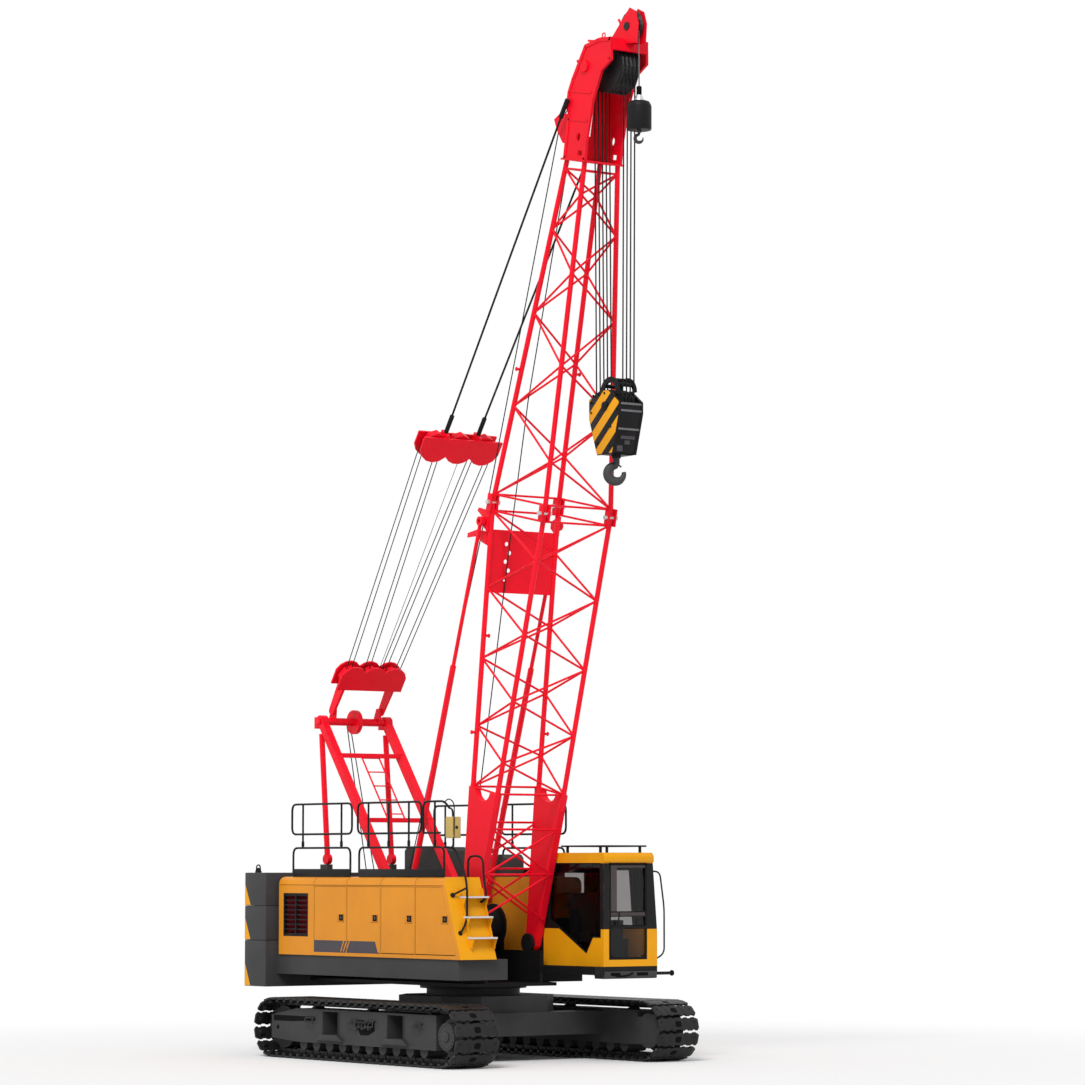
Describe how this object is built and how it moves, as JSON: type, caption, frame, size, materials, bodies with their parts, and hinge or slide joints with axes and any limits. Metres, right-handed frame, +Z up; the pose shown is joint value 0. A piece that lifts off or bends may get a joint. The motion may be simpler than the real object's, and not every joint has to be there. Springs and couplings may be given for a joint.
{
  "type": "crawler crane",
  "caption": "Crawler crane with a lattice boom on tracks: slewing upper with engine houses, cab, winches, counterweight, gantry, boom stays, backstops, hook block and ball hook.",
  "frame": {"origin": "bottom centre of the machine's box, on the ground, on the machine's centre plane", "axes": "+X forward under the boom, +Y to the left side where the cab is, +Z up; the slew axis is parallel to +Z"},
  "size_m": [8.279, 4.36, 15.2617],
  "materials": {
    "boom_red": "gloss",
    "house_orange": "satin",
    "cab_yellow": "satin",
    "dark_grey": "satin",
    "track_steel": "worn",
    "black_steel": "satin",
    "tread_aluminium": "satin",
    "window_glass": "clear",
    "engine_iron": "matt",
    "rope_steel": "oiled",
    "seat_fabric": "woven"
  },
  "bodies": {
    "undercarriage": {"car_body": "dark_grey", "right_track_frame": "dark_grey", "left_track_frame": "dark_grey", "right_track": "track_steel", "left_track": "track_steel"},
    "upper": {"deck_frame": "dark_grey", "counterweight_lower": "dark_grey", "counterweight_middle": "dark_grey", "counterweight_upper": "dark_grey", "right_house": "house_orange", "left_house": "house_orange", "right_grille": "black_steel", "engine": "engine_iron", "cab_shell": "cab_yellow", "cab_seat": "seat_fabric", "cab_console": "black_steel", "main_drum": "rope_steel", "aux_drum": "rope_steel", "boom_drum": "rope_steel", "gantry_front": "boom_red", "right_gantry_rear": "boom_red", "left_gantry_rear": "boom_red", "right_handrail_rear": "black_steel", "right_handrail_front": "black_steel", "left_handrail_rear": "black_steel", "left_handrail_front": "black_steel", "right_deck": "dark_grey", "left_deck": "dark_grey", "cab_deck": "dark_grey", "front_steps": "tread_aluminium", "left_roof_box_rear": "dark_grey", "left_roof_box_front": "dark_grey", "windscreen": "window_glass", "right_window": "window_glass", "rear_window": "window_glass", "cab_guard": "black_steel"},
    "boom": {"boom_base": "boom_red", "boom_top": "boom_red", "boom_head": "boom_red"},
    "main_falls": {"head_sheaves": "dark_grey"},
    "block": {"hook_block": "black_steel"},
    "main_hook": {"main_hook": "black_steel"},
    "aux_fall": {"aux_sheave": "dark_grey"},
    "aux_ball": {"aux_ball": "black_steel"},
    "stay_reeving": {"lower_bridle": "boom_red"},
    "stay": {"upper_bridle": "boom_red", "right_pendant": "rope_steel", "left_pendant": "rope_steel"},
    "right_stop": {"right_stop_barrel": "boom_red"},
    "left_stop": {"left_stop_barrel": "boom_red"},
    "right_stop_slide": {"right_stop_rod": "black_steel"},
    "left_stop_slide": {"left_stop_rod": "black_steel"},
    "cab_door": {"cab_door": "cab_yellow", "door_window": "window_glass"},
    "right_door_1": {"right_door_1": "house_orange"},
    "right_door_2": {"right_door_2": "house_orange"},
    "right_door_3": {"right_door_3": "house_orange"},
    "right_door_4": {"right_door_4": "house_orange"},
    "left_door_1": {"left_door_1": "house_orange"},
    "left_door_2": {"left_door_2": "house_orange"}
  },
  "joints": [
    {"name": "slew", "type": "hinge", "parent": "undercarriage", "child": "upper", "pos_m": [-0.185, 0, 1.06], "axis": [0, 0, 1], "continuous": true},
    {"name": "boom_luff", "type": "hinge", "parent": "upper", "child": "boom", "pos_m": [0.521, 0, 1.731], "axis": [0, -1, 0], "range_deg": [-48.6, 1.4]},
    {"name": "stay_swing", "type": "hinge", "parent": "upper", "child": "stay_reeving", "pos_m": [-3.385, 0, 5.3], "axis": [0, -1, 0], "range_deg": [-43.76, 1.27]},
    {"name": "stay_haul", "type": "slide", "parent": "stay_reeving", "child": "stay", "axis": [0.5723, 0, 0.8201], "range_m": [-0.1226, 4.2233]},
    {"name": "main_falls", "type": "hinge", "parent": "boom", "child": "main_falls", "pos_m": [3.38463, 0, 14.41523], "axis": [0, -1, 0], "range_deg": [-1.41, 48.61]},
    {"name": "main_hoist", "type": "slide", "parent": "main_falls", "child": "block", "axis": [0, 0, -1], "range_m": [-2.4, 8.2]},
    {"name": "hook_swivel", "type": "hinge", "parent": "block", "child": "main_hook", "pos_m": [3.38463, 0, 8.78023], "axis": [0, 0, 1], "continuous": true},
    {"name": "aux_fall", "type": "hinge", "parent": "boom", "child": "aux_fall", "pos_m": [3.765, 0, 14.98121], "axis": [0, -1, 0], "range_deg": [-1.41, 48.61]},
    {"name": "aux_hoist", "type": "slide", "parent": "aux_fall", "child": "aux_ball", "axis": [0, 0, -1], "range_m": [-0.5, 13.1]},
    {"name": "right_stop_swing", "type": "hinge", "parent": "upper", "child": "right_stop", "pos_m": [-0.845, -0.715, 2.4], "axis": [0, -1, 0], "range_deg": [-45.7, 1.33]},
    {"name": "right_stop_stroke", "type": "slide", "parent": "right_stop", "child": "right_stop_slide", "axis": [0.3168, 0, 0.9485], "range_m": [-0.0358, 1.2093]},
    {"name": "left_stop_swing", "type": "hinge", "parent": "upper", "child": "left_stop", "pos_m": [-0.845, 0.715, 2.4], "axis": [0, -1, 0], "range_deg": [-45.7, 1.33]},
    {"name": "left_stop_stroke", "type": "slide", "parent": "left_stop", "child": "left_stop_slide", "axis": [0.3168, 0, 0.9485], "range_m": [-0.0358, 1.2093]},
    {"name": "cab_door_hinge", "type": "hinge", "parent": "upper", "child": "cab_door", "pos_m": [0.8553, 1.67, 1.405], "axis": [0, 0, 1], "range_deg": [0, 95]},
    {"name": "right_door_1_hinge", "type": "hinge", "parent": "upper", "child": "right_door_1", "pos_m": [-2.3747, -1.43, 1.575], "axis": [0, 0, -1], "range_deg": [0, 110]},
    {"name": "right_door_2_hinge", "type": "hinge", "parent": "upper", "child": "right_door_2", "pos_m": [-1.4647, -1.43, 1.575], "axis": [0, 0, -1], "range_deg": [0, 110]},
    {"name": "right_door_3_hinge", "type": "hinge", "parent": "upper", "child": "right_door_3", "pos_m": [-0.5447, -1.43, 1.575], "axis": [0, 0, -1], "range_deg": [0, 110]},
    {"name": "right_door_4_hinge", "type": "hinge", "parent": "upper", "child": "right_door_4", "pos_m": [0.3653, -1.43, 1.575], "axis": [0, 0, -1], "range_deg": [0, 110]},
    {"name": "left_door_1_hinge", "type": "hinge", "parent": "upper", "child": "left_door_1", "pos_m": [-2.3747, 1.43, 1.575], "axis": [0, 0, 1], "range_deg": [0, 110]},
    {"name": "left_door_2_hinge", "type": "hinge", "parent": "upper", "child": "left_door_2", "pos_m": [-1.2747, 1.43, 1.575], "axis": [0, 0, 1], "range_deg": [0, 110]}
  ],
  "couplings": [
    {"joint": "stay_swing", "follows": "boom_luff", "ratio": 0.90022},
    {"joint": "stay_haul", "follows": "boom_luff", "m_per_rad": -4.9777},
    {"joint": "main_falls", "follows": "boom_luff", "ratio": -1},
    {"joint": "aux_fall", "follows": "boom_luff", "ratio": -1},
    {"joint": "right_stop_swing", "follows": "boom_luff", "ratio": 0.94004},
    {"joint": "right_stop_stroke", "follows": "boom_luff", "m_per_rad": -1.4245},
    {"joint": "left_stop_swing", "follows": "boom_luff", "ratio": 0.94004},
    {"joint": "left_stop_stroke", "follows": "boom_luff", "m_per_rad": -1.4245}
  ]
}
